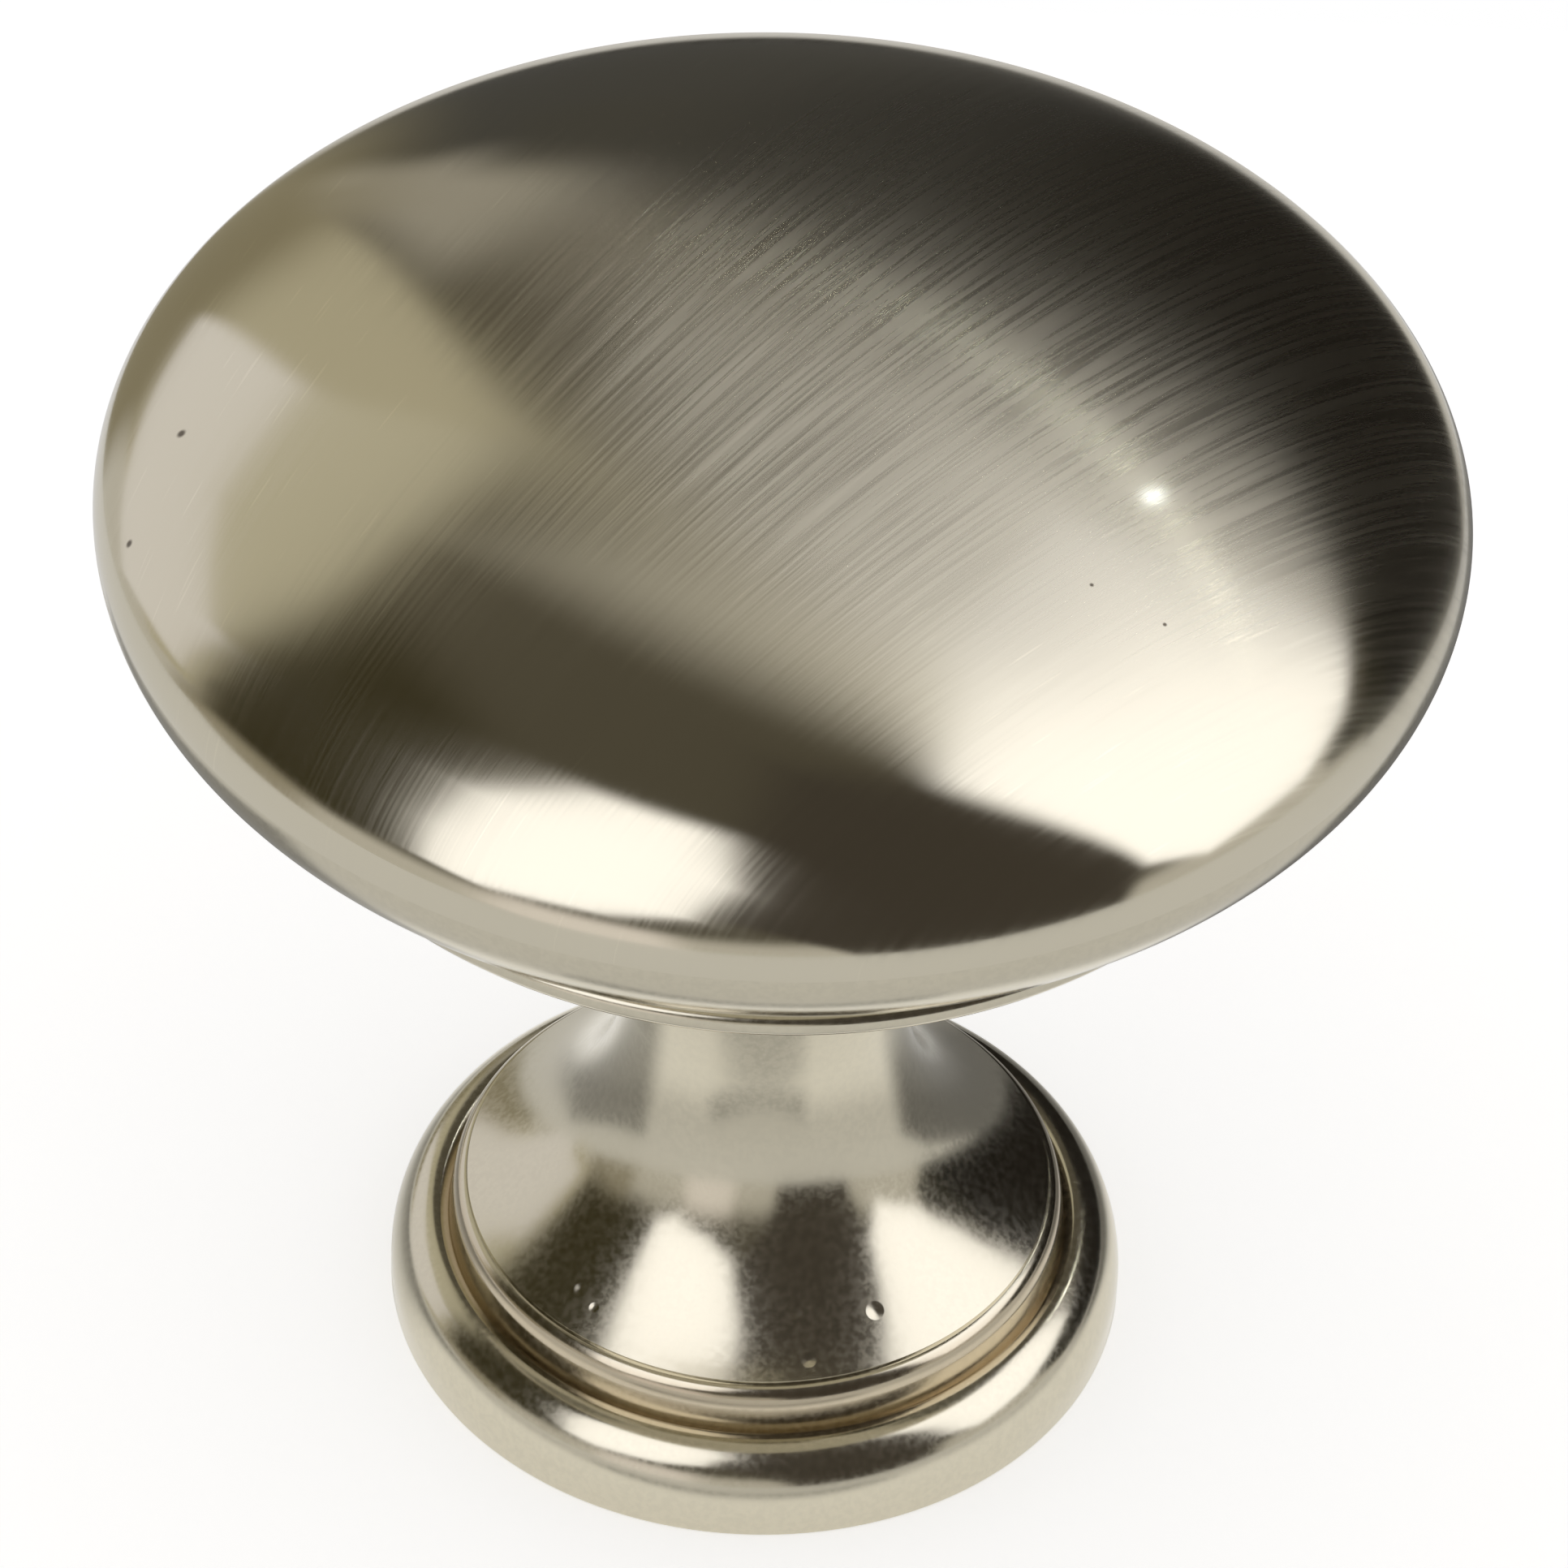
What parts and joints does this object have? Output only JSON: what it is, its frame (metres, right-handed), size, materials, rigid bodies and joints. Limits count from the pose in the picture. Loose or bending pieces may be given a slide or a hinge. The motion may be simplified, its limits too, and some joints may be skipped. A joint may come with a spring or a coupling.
{
  "type": "cabinet knob",
  "caption": "Round domed knob on a waisted neck and a small round foot, with a central threaded hole in its seat.",
  "frame": {"origin": "centre of the foot's flat seating face", "axes": "+Z along the knob's axis, from the door out to the head"},
  "size_m": [0.032, 0.032, 0.0307],
  "materials": {
    "satin_nickel": "satin nickel plate, the dome finely brushed one way, the neck and foot smoother"
  },
  "bodies": {
    "root": {"knob_body": "satin_nickel"}
  },
  "joints": []
}
